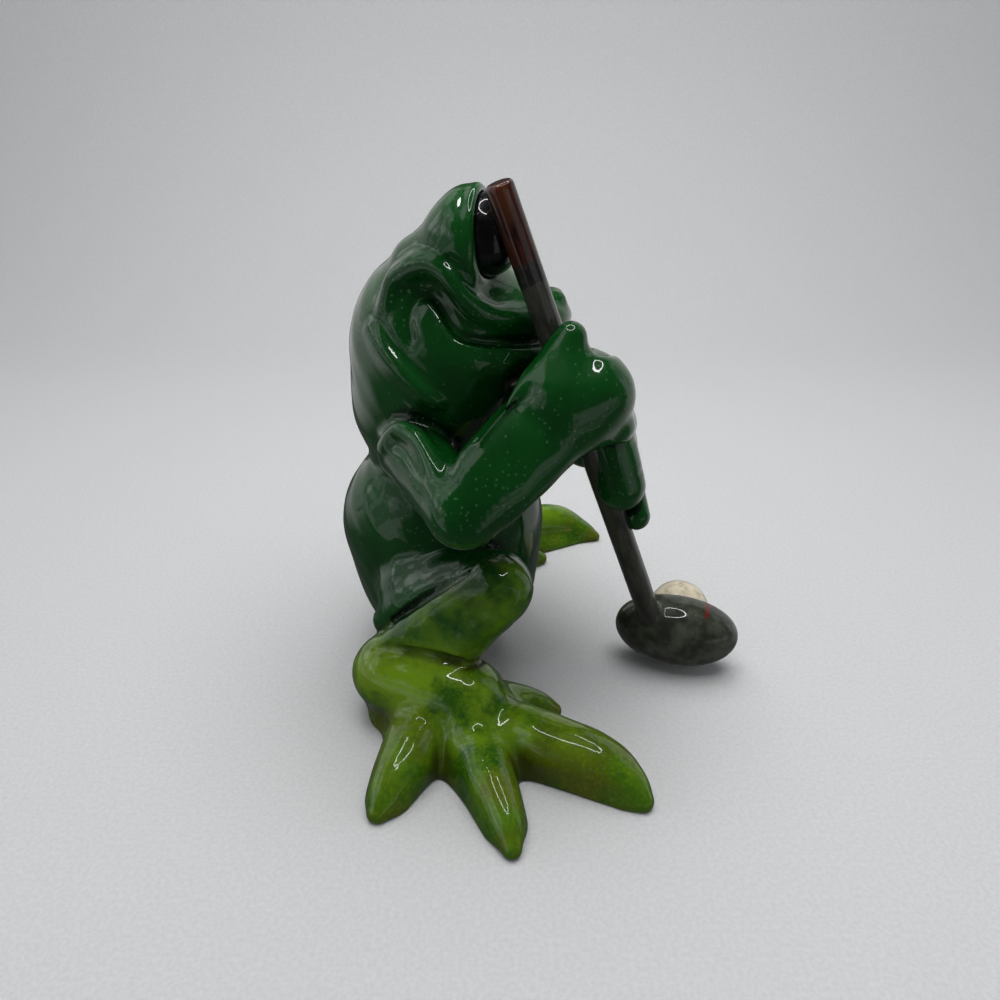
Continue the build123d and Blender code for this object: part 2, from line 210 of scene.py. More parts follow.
def flattened(form, height):
    """The same form pressed down towards the floor."""
    press = vec(1, 1, height)
    return Form(lambda p: form.measure(p / press) * height, form.centre * press, form.reach)


def beyond(point, way):
    """All of space past a plane."""
    c = vec(*point)
    w = vec(*way) / np.linalg.norm(way)
    return Form(lambda p: (c - p) @ w, c, ENDLESS)


def moved(form, matrix, pivot):
    """The same form turned about a pivot."""
    c = vec(*pivot)
    centre = matrix @ (form.centre - c) + c
    return Form(lambda p: form.measure((p - c) @ matrix + c), centre, form.reach)


# %% [markdown]
# Clay joins softly. Where two forms come within `soft` millimetres of each other, the joint is
# filled like a thumbed seam, and a carved groove gets round lips in the same way. A group is a
# list of such steps, and steps that are far from all the points asked about are skipped.

# %% Joining and carving
FAR = 60.0
BAND = 4.0


def join(a, b, soft):
    h = np.maximum(soft - np.abs(a - b), 0) / soft
    return np.minimum(a, b) - h * h * soft / 4


class Group:
    def __init__(self, name):
        self.name = name
        self.steps = []

    def add(self, form, soft):
        self.steps.append((1, form, soft))

    def cut(self, form, soft):
        self.steps.append((-1, form, soft))

    def measure(self, p):
        low, high = p.min(0), p.max(0)
        middle = (low + high) / 2
        spread = float(np.linalg.norm(high - low)) / 2
        d = np.full(len(p), FAR, np.float32)
        for sign, form, soft in self.steps:
            gap = float(np.linalg.norm(form.centre - middle)) - form.reach - spread
            if gap < BAND + 2 * soft:
                d = sign * join(sign * d, form.measure(p), soft)
        return d


# %% [markdown]
# ## The frog's forms
# Sizes come from the photograph through one camera. The frog looks along +X and its right side
# faces the camera. Both sides are made by one loop, with distances from the middle written as
# `out`.

# %% Which side is which
RIGHT, LEFT = -1, 1
SIDES = {RIGHT: "right", LEFT: "left"}


def sided(rows, side):
    return [(x, side * out, z, r) for x, out, z, r in rows]


# %% [markdown]
# ### Head
# A high round skull runs down into a thick neck without a chin. The head is modelled upright and
# then tipped a few degrees to the frog's left, as a golfer's is. The broad mouth starts in a curl
# under a thick roll of skin that sweeps below the eye to the snout.

# %% Head
HEAD_TIP = turning((-7, 0, 0))
HEAD_PIVOT = (0, 0, 110)
EYE = (-3.2, 15.6, 136.8)
EYE_HALF = (9.3, 9.6, 10.5)
EYE_GAP = 0.2
DOME_MIDDLE, DOME_REACH = (-12, 13, 133), 26
LID_EDGE, LID_WAY = (-4.4, 15.6, 137), (1, 0.26, 0.04)
RIM_BACK, RIM_RADIUS, RIM_THICK, RIM_STRETCH = 0.6, 10.4, 0.9, 1.08
LIP_ROLL = [(-30.5, 17, 114, 1.8), (-29.2, 17.4, 120.5, 2.8), (-27, 17.2, 125.3, 3.3),
            (-23, 18.9, 128.4, 3.6), (-18.9, 20.9, 129.8, 3.7), (-15, 22.9, 128.6, 3.6),
            (-12, 24, 125.7, 3.5), (-9, 23.8, 121.9, 3.4), (-5.5, 22.6, 118.6, 3.4),
            (-1.8, 20.8, 116.6, 3.4), (3, 17.8, 115.7, 3.4), (8, 14, 115.4, 3.2)]
EYE_GROOVE = [(-12.6, 26.6, 131.4, 0.7), (-9.3, 27.5, 128.9, 1.3), (-6, 25.8, 125.2, 1.7),
              (-3.2, 22.9, 123.4, 1.8), (0, 19.6, 122.8, 1.8), (4.5, 15.8, 123.6, 1.6)]
CORNER_HOLLOW = [(-24.5, 26.4, 110.5, 1.4), (-25.2, 25.8, 114.5, 2.4), (-24.4, 25, 119, 3),
                 (-21, 24.6, 122.8, 3), (-17, 25, 122.8, 2.6), (-13.4, 26, 118.6, 2.2),
                 (-10.5, 26.8, 114.4, 1.6)]
LOWER_LIP = [(-18.8, 19.6, 114, 3), (-15.5, 20.4, 109.2, 5), (-8, 20.2, 105.2, 5.6),
             (0, 17.4, 103.8, 5.3), (8, 13, 103.8, 5), (13.5, 6.8, 104.2, 4.8),
             (15, 0, 104.4, 4.8)]
MOUTH = [(-23.2, 24.2, 111.6, 0.9), (-23.9, 23, 116.4, 1.2), (-22.8, 22, 120, 1.4),
         (-20.4, 21.4, 121.9, 1.4), (-17.6, 21.7, 122, 1.4), (-15.2, 22.7, 119.8, 1.4),
         (-12.6, 24.2, 115.6, 1.4), (-9.6, 24.9, 112.4, 1.4), (-5.2, 23.8, 110.8, 1.4),
         (0, 21.8, 110.2, 1.3), (5.4, 19, 109.8, 1.3), (11, 15, 109.5, 1.2),
         (16, 9.4, 109.5, 1.2), (18.4, 4, 109.6, 1.2), (18.8, 0, 109.6, 1.2)]
JAW_FOLD = [(-33.5, 16.8, 112.6, 1.3), (-31, 19.8, 108.8, 2.2), (-26.3, 22.8, 103.4, 2.6),
            (-21, 24, 98.2, 2.2), (-17.3, 24.2, 95.2, 1.4)]
JAW_GROOVE = [(-32, 20.4, 116, 0.8), (-29, 23.8, 111.3, 1.3), (-24.2, 26.4, 106, 1.4),
              (-18.7, 27.1, 100.4, 1.3), (-14.8, 26.5, 96.8, 0.8)]


def eye_dome(side):
    """A tall egg, sliced off where the lid opens, that runs back into the skull."""
    dome = Group("dome")
    dome.add(egg((-7.5, side * 15.5, 134.5), (11.5, 11.2, 14.8)), 1)
    dome.add(limb((-9.5, side * 15, 133.5), (-19.5, side * 9.5, 127.8), 10.2, 10), 5)
    x, out, z = LID_EDGE
    ahead, apart, up = LID_WAY
    dome.cut(beyond((x, side * out, z), (ahead, side * apart, up)), 1.2)
    x, out, z = DOME_MIDDLE
    return Form(dome.measure, (x, side * out, z), DOME_REACH)


def tipped(form):
    return moved(form, HEAD_TIP, HEAD_PIVOT)


def make_head():
    head = Group("head")
    head.add(tipped(egg((-15.5, 0, 105), (28, 26, 30.5))), 1)
    head.add(egg((-21.5, 0, 87), (22, 22.5, 19)), 8)
    head.add(tipped(egg((0, 0, 114.5), (20.5, 18.5, 9.2))), 6)
    head.add(tipped(egg((-4, 0, 104), (19, 19.5, 10.5))), 4)
    for side in SIDES:
        head.add(tipped(eye_dome(side)), 4)
        head.add(tipped(cord(sided(LIP_ROLL, side))), 2)
        head.add(tipped(cord(sided(LOWER_LIP, side))), 3)
        head.add(tipped(egg((15.2, side * 3.8, 119.6), (3.2, 2.6, 2.2))), 3)
        head.cut(tipped(cord(sided(EYE_GROOVE, side))), 2)
        head.cut(tipped(cord(sided(CORNER_HOLLOW, side))), 3)
        head.cut(tipped(cord(sided(MOUTH, side))), 1.2)
        head.add(tipped(cord(sided(JAW_FOLD, side))), 3.5)
        head.cut(tipped(cord(sided(JAW_GROOVE, side))), 1.5)
        lid_way = (LID_WAY[0], side * LID_WAY[1], LID_WAY[2])
        rim_middle = (LID_EDGE[0] - RIM_BACK, side * EYE[1], EYE[2])
        head.add(tipped(hoop(rim_middle, lid_way, RIM_RADIUS, RIM_THICK, RIM_STRETCH)), 2)
        socket = egg((EYE[0], side * EYE[1], EYE[2]), [half + EYE_GAP for half in EYE_HALF])
        head.cut(tipped(socket), 0.8)
        head.cut(tipped(egg((18.4, side * 3.7, 119.4), (1.6, 0.9, 1.5), (0, 30, 0))), 0.5)
    return head


head = make_head()
print("head steps", len(head.steps))

# %% [markdown]
# ### Body and arms
# The body is two eggs, one on the other, that pinch at the waist under the arms. Each arm bends
# hard at the elbow. The near forearm rises across the chest to the upper fist. The far one reaches
# across to the lower fist.

# %% Body
def make_torso():
    torso = Group("torso")
    torso.add(egg((-18.3, 0, 49), (32, 26, 30)), 1)
    torso.add(egg((-17, 0, 27), (28, 24.5, 25.5)), 10)
    torso.add(egg((-20, 0, 78), (17.5, 20.5, 16)), 9)
    return torso


torso = make_torso()

# %% Arms
SHOULDER_FOLD = [(-31, -27, 85, 2), (-27, -28.5, 90.5, 2.6), (-22, -33, 90, 2.8),
                 (-17.8, -38.6, 85.6, 2.8), (-14, -43, 81.5, 2.2)]
FOREARM_RIDGE = [(12.5, -33, 110.5, 2.2), (8.5, -34, 107.6, 2.6), (4.5, -36.5, 104.4, 2.9),
                 (0.5, -39.8, 99.8, 2.6), (-5, -43.5, 93.5, 2)]
FOREARM = [(-9, -45, 75, 9.8), (-1, -41.5, 82.8, 11.5), (8, -36, 90.6, 11.9),
           (18, -30.5, 97.5, 11.4)]
FOREARM_FACE, FACE_WAY = (4.5, -46, 91.8), (0.06, -0.85, 0.52)


def make_right_arm():
    arm = Group("right_arm")
    arm.add(limb((-25, -23, 82.5), (-9.5, -44.5, 75), 9.2, 9.8), 1)
    arm.add(cord(FOREARM), 2)
    arm.add(cord(SHOULDER_FOLD), 2.5)
    arm.add(cord(FOREARM_RIDGE), 2)
    arm.cut(beyond(FOREARM_FACE, FACE_WAY), 8)
    return arm


def make_left_arm():
    arm = Group("left_arm")
    arm.add(limb((-25, 22, 84), (-2, 43, 75), 9.5, 10.5), 1)
    arm.add(limb((-2, 43, 75), (27, 3, 74), 10.8, 8), 2)
    return arm


arms = {RIGHT: make_right_arm(), LEFT: make_left_arm()}

# %% [markdown]
# ### Fists
# The upper fist shows its back, with the thumb laid up along the putter. The lower fist shows the
# smooth heel of the hand, and one small finger below it. The fingers lie round the putter's front,
# so they follow its slope.

# %% The putter's line, which both fists follow
ROD_FOOT, ROD_TOP = vec(49, -13.2, 19), vec(0, -24, 151)


def on_rod(z):
    t = (z - ROD_FOOT[2]) / (ROD_TOP[2] - ROD_FOOT[2])
    return ROD_FOOT + (ROD_TOP - ROD_FOOT) * t


# %% Fists
TOP_FINGER, FINGER_PITCH = 106.5, 7.2
THUMB_NOTCH = [(29, -14, 113, 2.4), (27, -22, 111.4, 2.4), (25, -28, 109, 1.6),
               (22.5, -33, 105, 0.8)]
UPPER_PALM_LINE = [(39.5, -8, 84.5, 1.2), (40.5, -16, 84.2, 1.3), (36.5, -24, 83.5, 1.2),
                   (30, -25, 81, 1)]
LOWER_PALM_LINE = [(43, -8, 75.5, 1), (43.4, -16, 75.3, 1.1), (40.5, -23, 75, 0.9)]


def make_right_hand():
    hand = Group("right_hand")
    hand.add(limb((17, -30.5, 98), (24, -27, 98.5), 10.8, 10.8), 1)
    hand.add(limb((24, -27, 101), (23, -26, 96), 10.5, 10.5), 5)
    hand.add(limb((13, -30.5, 103), (18, -27, 115.6), 8, 4.2), 5)
    for number in range(3):
        z = TOP_FINGER - FINGER_PITCH * number
        x = on_rod(z)[0]
        hand.add(cord([(x + 9.5, -29, z, 4.6), (x + 10.5, -21.5, z - 0.6, 4.5),
                       (x + 8, -14.5, z - 1.4, 4.2), (x + 2.5, -11.8, z - 2, 3.8)]), 1.8)
    hand.add(limb((30.5, -22, 94), (31.8, -26, 90.5), 5, 4.6), 2)
    hand.cut(cord(THUMB_NOTCH), 3)
    return hand


def make_left_hand():
    hand = Group("left_hand")
    hand.add(limb((33, -7, 78), (35, -7.5, 66), 8, 7.4), 1)
    hand.add(limb((30, -14.5, 87), (35.4, -17.6, 68.8), 7.6, 7.2), 4)
    hand.add(limb((39.5, -8, 63), (41.2, -15, 57.4), 4.8, 4.1), 1.5)
    hand.cut(cord(UPPER_PALM_LINE), 1.2)
    hand.cut(cord(LOWER_PALM_LINE), 1.2)
    return hand


hands = {RIGHT: make_right_hand(), LEFT: make_left_hand()}

# %% [markdown]
# ### Legs and feet
# The frog squats, so each thigh lies against the belly and the shank folds back under it. Each
# foot is a star of four toes. A toe is a round ridge that tapers to a point, on a wider
# pressed-down roll that makes its flanks.

# %% Legs
SHIN_RIDGE = [(-38, 35, 21, 2.5), (-28, 38, 31, 3), (-16, 40.5, 43, 3.2), (-4, 41, 54, 3)]
CALF_HOLLOW = [(-34, 46, 18, 2.5), (-20, 49.5, 32, 4), (-8, 50.5, 44, 3.6), (2, 50, 50, 2)]
THIGH_ROLL = [(-33.5, 27.5, 28.5, 5), (-28, 30, 35, 5.8), (-20, 32, 42, 5.8),
              (-11, 33.5, 48, 5.2), (-4, 35, 51, 4.5)]
THIGH_CREASE = [(-31, 34.5, 33.5, 0.7), (-24, 37.5, 40.5, 1.1), (-15, 40, 49, 1.1),
                (-8, 41, 53.5, 0.7)]
ANKLE_CREASE = [(-36.5, 39.4, 26.6, 0.6), (-30.3, 42, 28.4, 1.3), (-24, 44, 28.4, 1.6),
                (-17.3, 46, 28.2, 1.7), (-11.5, 46, 27.2, 1.4)]


def make_leg(side):
    leg = Group(SIDES[side] + "_leg")
    leg.add(limb((-23.5, side * 21, 35), (-1, side * 35, 47), 14.2, 9.2), 1)
    leg.add(cord(sided(THIGH_ROLL, side)), 2)
    leg.add(limb((0, side * 39, 47.5), (-36, side * 34, 15), 9.5, 8), 2)
    leg.add(limb((-2, side * 39, 43.5), (-23, side * 36, 17), 8.3, 10.2), 3)
    leg.add(cord(sided(SHIN_RIDGE, side)), 3)
    leg.cut(cord(sided(CALF_HOLLOW, side)), 4)
    return leg


legs = {side: make_leg(side) for side in SIDES}

# %% Feet
OUTER_TOE = [(-22.5, 44, 6, 9), (-25.5, 60, 5.4, 8.4), (-30, 71, 4, 5.6), (-32.4, 77.2, 2, 2.8)]
LONG_TOE = [(-10, 48, 6.5, 9), (-4, 66, 5.6, 7.6), (1, 80, 4, 5.4), (3, 88.6, 1.9, 2.6)]
FRONT_TOES = {
    RIGHT: [(-7, 46, 6.5, 8.5), (11, 56, 6.8, 8.8), (26, 63, 5.8, 8.2), (34, 68.4, 4.2, 5.8),
            (38.4, 73.4, 2, 2.9)],
    LEFT: [(-6, 58, 6.5, 8.5), (9, 69.5, 6.8, 8.2), (23, 75, 6, 7.8), (34, 73.2, 3.6, 4.8),
           (40.5, 70.8, 1.6, 2.2)],
}
INNER_TOES = {
    RIGHT: [(-16, 40, 6, 8), (-1, 38, 5.5, 6.6), (10, 37.5, 3.8, 4.8), (16.2, 38.2, 2, 2.7)],
    LEFT: [(-14, 44, 6, 8), (0, 48, 5.5, 6.4), (10, 51, 3.8, 4.4), (16.5, 52, 2.2, 2.6)],
}
INSTEP = [(-32.5, 36, 15.5), (-10, 45, 12.5)]
ANKLE_THICK, ARCH_THICK = 11.8, 12.2
TOE_STEPS = 14
FLANK_HEIGHT, WEB_HEIGHT = 0.7, 0.62
FLANK_ROOT, FLANK_TIP = 1.22, 1.12
SOLE_EDGE = 0.6


def make_foot(side):
    foot = Group(SIDES[side] + "_foot")
    foot.add(limb((-36.5, side * 32, 8), (-9, side * 49, 4.5), 7.4, 10), 1)
    foot.add(flattened(limb((-30.5, side * 37, 0), (-6, side * 50, 0), 10, 17), WEB_HEIGHT), 4)
    ankle, arch = [(x, side * out, z) for x, out, z in INSTEP]
    foot.add(limb(ankle, arch, ANKLE_THICK, ARCH_THICK), 4)
    for rows in (OUTER_TOE, LONG_TOE, FRONT_TOES[side], INNER_TOES[side]):
        foot.add(cord(sided(rows, side), TOE_STEPS), 4)
        (x0, out0, _, r0), (x1, out1, _, r1) = rows[0], rows[-2]
        root, tip = (x0, side * out0, 0), (x1, side * out1, 0)
        foot.add(flattened(limb(root, tip, r0 * FLANK_ROOT, r1 * FLANK_TIP), FLANK_HEIGHT), 3)
    below_floor = Form(lambda p: p[:, 2], (0, 0, 0), ENDLESS)
    foot.cut(below_floor, SOLE_EDGE)
    return foot


feet = {side: make_foot(side) for side in SIDES}

# %% [markdown]
# ### One skin
# All groups melt into one skin, so that an arm runs into the shoulder as it does on the casting.
# The order matters little, the softness a lot: the neck is a broad blend, and the feet and arms
# join more tightly.

# %% Melt the groups together
GROUPS = [(torso, 1), (head, 5), (arms[RIGHT], 2.5), (arms[LEFT], 2.5), (hands[RIGHT], 3.5),
          (hands[LEFT], 2.5), (legs[RIGHT], 3), (legs[LEFT], 3), (feet[RIGHT], 2),
          (feet[LEFT], 2)]
CREASE_SOFT = 1.6
WAVE_HEIGHT, WAVE_FADE = 0.1, 6
WAVE_X, WAVE_Y, WAVE_Z = 0.52, 0.47, (0.21, 0.36)
leg_creases = [cord(sided(rows, side)) for side in SIDES for rows in (THIGH_CREASE, ANKLE_CREASE)]


def waves(p):
    """The slight unevenness of a thing made by hand. It dies away at the flat soles."""
    along = np.sin(p[:, 0] * WAVE_X + p[:, 2] * WAVE_Z[0])
    across = np.sin(p[:, 1] * WAVE_Y - p[:, 2] * WAVE_Z[1])
    return WAVE_HEIGHT * (along * across) * np.clip(p[:, 2] / WAVE_FADE, 0, 1)


def skin(p):
    d = np.full(len(p), FAR, np.float32)
    for group, soft in GROUPS:
        d = join(d, group.measure(p), soft)
    for crease in leg_creases:
        d = -join(-d, crease.measure(p), CREASE_SOFT)
    return d + waves(p)


print("groups", [group.name for group, soft in GROUPS])

# %% [markdown]
# ## Drawing the mesh over the clay
# The space is cut into small blocks. Blocks far from the skin are dropped, the rest are measured
# finely, and each small cell that the skin crosses gets one point. Points of neighbouring cells
# make four-sided faces, which shade more evenly than triangles.

# %% Measure the blocks
BLOCK = 4
ROUGH_CLUMP, FINE_CLUMP = 6, 5
NEAR_BLOCK = 1.6
CORNERS = np.indices((2, 2, 2)).reshape(3, -1).T


def in_clumps(cells, size):
    """Sorts cells into clumps of neighbours, so that each clump asks only the forms near it."""
    key = cells // size
    order = np.lexsort(key.T)
    turn = np.flatnonzero((np.diff(key[order], axis=0) != 0).any(1)) + 1
    return np.split(order, turn)


def measured_grid(measure, low, high, step):
    big = step * BLOCK
    count = np.ceil((high - low) / big).astype(int)
    blocks = np.indices(count).reshape(3, -1).T
    rough = np.zeros(len(blocks), np.float32)
    for clump in in_clumps(blocks, ROUGH_CLUMP):
        rough[clump] = measure((low + (blocks[clump] + 0.5) * big).astype(np.float32))
    grid = rough.reshape(count)
    for axis in range(3):
        grid = np.repeat(grid, BLOCK, axis)
    live = blocks[np.abs(rough) < big * NEAR_BLOCK]
    fine = np.indices((BLOCK,) * 3).reshape(3, -1).T
    for clump in in_clumps(live, FINE_CLUMP):
        cells = (live[clump][:, None, :] * BLOCK + fine[None]).reshape(-1, 3)
        grid[tuple(cells.T)] = measure((low + cells * step).astype(np.float32))
    return grid


# %% Points and faces
def crossing_points(grid, cells):
    """For each cell, the middle of the places where the skin crosses its edges."""
    total = np.zeros((len(cells), 3))
    hits = np.zeros(len(cells))
    for axis in range(3):
        for corner in CORNERS[CORNERS[:, axis] == 0]:
            a = cells + corner
            b = a.copy()
            b[:, axis] += 1
            da, db = grid[tuple(a.T)], grid[tuple(b.T)]
            hit = (da < 0) != (db < 0)
            t = da[hit] / (da[hit] - db[hit])
            total[hit] += a[hit] + t[:, None] * (b - a)[hit]
            hits[hit] += 1
    return total / hits[:, None]


def draw_skin(measure, low, high, step):
    grid = measured_grid(measure, low, high, step)
    inside = grid < 0
    size = np.array(grid.shape) - 1
    full = np.zeros(size, np.int8)
    for x, y, z in CORNERS:
        full += inside[x:x + size[0], y:y + size[1], z:z + size[2]]
    cells = np.argwhere((full > 0) & (full < 8))
    number = np.full(grid.shape, -1, np.int32)
    number[tuple(cells.T)] = np.arange(len(cells))
    points = low + crossing_points(grid, cells) * step
    faces = []
    for axis in range(3):
        u, v = (axis + 1) % 3, (axis + 2) % 3
        here = np.moveaxis(inside, axis, 0)
        edge = np.moveaxis(here[:-1] != here[1:], 0, axis)
        e = np.argwhere(edge)
        e = e[(e[:, u] > 0) & (e[:, v] > 0)]
        du, dv = np.eye(3, dtype=int)[u], np.eye(3, dtype=int)[v]
        quad = np.stack([number[tuple(c.T)] for c in (e - du - dv, e - dv, e, e - du)], 1)
        flip = ~inside[tuple(e.T)]
        quad[flip] = quad[flip][:, ::-1]
        faces.append(quad[(quad >= 0).all(1)])
    return points.astype(np.float32), np.vstack(faces)


# %% [markdown]
# The first points lie near the skin, and two small steps along the slope of the distance settle
# them on it. The same slope gives each point's exact normal, so the lacquer's reflections run
# smoothly over the faces.

# %% Settle the points and read their normals
PROBE = 0.15
LONGEST_STEP = 0.5
CLUMP_WIDTH = 12


def clumped(function, points, *more):
    """Calls a function on clumps of neighbouring points."""
    out = None
    for clump in in_clumps(np.floor(points / CLUMP_WIDTH).astype(int), 1):
        result = function(points[clump], *[m[clump] for m in more])
        if out is None:
            out = np.zeros((len(points),) + result.shape[1:], np.float32)
        out[clump] = result
    return out


TETRA = np.array([(1, 1, 1), (1, -1, -1), (-1, 1, -1), (-1, -1, 1)], np.float32)


def slope(measure, p):
    """The distance and its slope, from four probes round each point."""
    probes = (p[None] + TETRA[:, None] * PROBE).reshape(-1, 3)
    d = measure(probes).reshape(4, -1)
    return d.mean(0), (d.T @ TETRA) / (4 * PROBE)


def settled(measure, points, rounds=2):
    def step(p):
        d, g = slope(measure, p)
        size = lengths(g)[:, None] + 1e-6
        return p - g / size * np.clip(d[:, None] / size, -LONGEST_STEP, LONGEST_STEP)

    def facing(p):
        d, g = slope(measure, p)
        return g / (lengths(g)[:, None] + 1e-6)
    for _ in range(rounds):
        points = clumped(step, points)
    return points, clumped(facing, points)


# %% Draw the frog's skin
STEP = 0.62
SKIN_LOW, SKIN_HIGH = np.array([-56, -97, -4.0]), np.array([60, 97, 156.0])
points, faces = draw_skin(skin, SKIN_LOW, SKIN_HIGH, STEP)
points, normals = settled(skin, points)
print("skin points", len(points), "faces", len(faces))

# %% [markdown]
# ## Painting guides
# Shade is painted into the folds and hollows, darkest where the skin closes in round a point, and
# the crests are left bright. Two numbers at each point guide that later: how closed in the point
# is within 3 mm, and within 10 mm. A third tells how much lime paint lies there: all of it on the
# feet, and less up the legs.

# %% Closeness of the folds
FOLD_REACH, HOLLOW_REACH = 3.0, 10.0


def closed_in(p, n, reach):
    return np.clip(1 - skin(p + n * reach) / reach, 0, 1)


fold_guide = clumped(lambda p, n: closed_in(p, n, FOLD_REACH), points, normals)
hollow_guide = clumped(lambda p, n: closed_in(p, n, HOLLOW_REACH), points, normals)
print("folds", round(float(fold_guide.mean()), 3), "hollows", round(float(hollow_guide.mean()), 3))

# %% Which form each point belongs to
SHARE_BLEND, SHARE_END = 3.0, 40
KNEE_OUT, SHANK_SPAN = 30.0, 12.0
THIGH_LIME, SHANK_LIME = 0.06, 0.38


def distances(p):
    return np.stack([group.measure(p) for group, soft in GROUPS], 1)


near = clumped(distances, points)
share = np.exp(-np.clip(near - near.min(1)[:, None], 0, SHARE_END) / SHARE_BLEND)
share = share / share.sum(1)[:, None]
names = [group.name for group, soft in GROUPS]
foot_share = share[:, names.index("right_foot")] + share[:, names.index("left_foot")]
leg_share = share[:, names.index("right_leg")] + share[:, names.index("left_leg")]
shank = np.clip((np.abs(points[:, 1]) - KNEE_OUT) / SHANK_SPAN, 0, 1)
lime_guide = np.clip(foot_share + leg_share * (THIGH_LIME + SHANK_LIME * shank), 0, 1)

# %% [markdown]
# ## From one skin to separate pieces
# The casting was poured in sections, and the model keeps them apart: head, torso, arms, hands,
# legs and feet. Each face goes to the form that is nearest. Pieces share the points along their
# seam, and keep the skin's normals, so no seam shows. A flat fan closes each piece inside, so that
# it is a solid of its own.

# %% Loops and caps
def rims(faces):
    """Closed rows of edges that only one face uses, each edge in its face's direction."""
    a = faces.reshape(-1)
    b = np.roll(faces, -1, 1).reshape(-1)
    edges = Counter(zip(a.tolist(), b.tolist()))
    onward = {}
    for (start, end), times in edges.items():
        for _ in range(times - edges[(end, start)]):
            onward.setdefault(start, []).append(end)
    rows = []
    while onward:
        first = next(iter(onward))
        row = [first]
        while True:
            ends = onward[row[-1]]
            following = ends.pop()
            if not ends:
                del onward[row[-1]]
            if following == first:
                break
            row.append(following)
        rows.append(row)
    return rows


def capped(points, normals, faces):
    """Adds one point in the middle of each rim, and a fan of triangles to it."""
    triangles = []
    for row in rims(faces):
        middle = points[row].mean(0)
        points = np.vstack([points, middle[None]])
        normals = np.vstack([normals, normals[row[:1]]])
        last = len(points) - 1
        for start, end in zip(row, row[1:] + row[:1]):
            triangles.append((end, start, last))
    return points, normals, np.array(triangles, int).reshape(-1, 3)


# %% Mesh objects
def to_model(points):
    return (points + vec(SHIFT / MM, 0, 0)) * MM


def add_object(name, data):
    made = bpy.data.objects.new(name, data)
    bpy.context.scene.collection.objects.link(made)
    return made


def mesh_object(name, points, normals, quads, guides):
    """A closed mesh with its own normals and painting guides."""
    count = len(points)
    points, normals, triangles = capped(points, normals, quads)
    mesh = bpy.data.meshes.new(name)
    corners = np.concatenate([quads.reshape(-1), triangles.reshape(-1)]).astype(np.int32)
    sizes = np.concatenate([np.full(len(quads), 4), np.full(len(triangles), 3)]).astype(np.int32)
    mesh.vertices.add(len(points))
    mesh.vertices.foreach_set("co", to_model(points).astype(np.float32).reshape(-1))
    mesh.loops.add(len(corners))
    mesh.loops.foreach_set("vertex_index", corners)
    mesh.polygons.add(len(sizes))
    mesh.polygons.foreach_set("loop_start", (np.cumsum(sizes) - sizes).astype(np.int32))
    mesh.polygons.foreach_set("use_smooth", np.ones(len(sizes), bool))
    for guide, values in guides.items():
        layer = mesh.attributes.new(guide, "FLOAT", "POINT")
        padded = np.concatenate([values, np.zeros(len(points) - count)]).astype(np.float32)
        layer.data.foreach_set("value", padded)
    mesh.update(calc_edges=True)
    mesh.validate()
    mesh.normals_split_custom_set_from_vertices(normals.astype(float))
    return add_object(name, mesh)


# %% Split the skin by form
def add_sections(prefix, names, points, normals, faces, face_owner, guides):
    """Makes one piece of the faces that belong to each name."""
    for index, name in enumerate(names):
        quads = faces[face_owner == index]
        used = np.unique(quads)
        renumber = np.zeros(len(points), int)
        renumber[used] = np.arange(len(used))
        own = {guide: values[used] for guide, values in guides.items()}
        PARTS[name] = mesh_object(prefix + name, points[used], normals[used], renumber[quads], own)
        print(name, "points", len(used))


def even_owners(owner, faces, rounds=2):
    """Gives each point the owner of most faces round it, so that the seams run evenly."""
    for _ in range(rounds):
        votes = np.zeros((len(points), len(GROUPS)))
        ring = owner[faces]
        for k in range(4):
            for j in range(4):
                np.add.at(votes, (faces[:, k], ring[:, j]), 1)
        owner = votes.argmax(1)
    return owner


owner = even_owners(near.argmin(1), faces)
face_owner = owner[faces[:, 0]]
PARTS = {}
add_sections("skin_", names, points, normals, faces, face_owner,
             {"fold": fold_guide, "hollow": hollow_guide, "lime": lime_guide})

# %% [markdown]
# ## Eyes, putter and ball
# The eyes are dark glossy balls set into the lids. The putter is one bar run into its head with a
# small fillet, and only paint tells the grip, the band and the shaft apart. The head's far side is
# flat, and the ball sits against it.

# %% Eyes
def draw_piece(name, measure, low, high, step):
    p, f = draw_skin(measure, np.array(low, float), np.array(high, float), step)
    p, n = settled(measure, p)
    return mesh_object(name, p, n, f, {})


EYE_STEP, EYE_ROOM = 0.5, 2
for side, word in SIDES.items():
    eye = tipped(egg((EYE[0], side * EYE[1], EYE[2]), EYE_HALF))
    low, high = eye.centre - eye.reach - EYE_ROOM, eye.centre + eye.reach + EYE_ROOM
    PARTS[word + "_eye"] = draw_piece(word + "_eyeball", eye.measure, low, high, EYE_STEP)

# %% Putter
ROD_RADIUS, ROD_PAST_ENDS, CLUB_HALF = 3.65, 4, (20, 12, 12)
PAST_TOP, TOP_ROUND, FACE_ROUND, NECK_FILLET = 1.5, 1.6, 2.0, 2.2
GRIP_LENGTH, BAND_LENGTH = 18.5, 5.5
PUTTER_STEP = 0.5
PUTTER_LOW, PUTTER_HIGH = np.array([-8, -34, -3.0]), np.array([84, 8, 156.0])
SECTIONS = ["club_grip", "grip_band", "club_shaft", "club_head"]
rod_way = (ROD_TOP - ROD_FOOT) / np.linalg.norm(ROD_TOP - ROD_FOOT)
face_way = vec(-math.sin(CLUB_TURN), math.cos(CLUB_TURN), 0)
past_ends = rod_way * ROD_PAST_ENDS
bar = limb(ROD_FOOT - past_ends, ROD_TOP + past_ends, ROD_RADIUS, ROD_RADIUS)
club_egg = egg(CLUB_MIDDLE, CLUB_HALF, (0, 0, math.degrees(CLUB_TURN)))


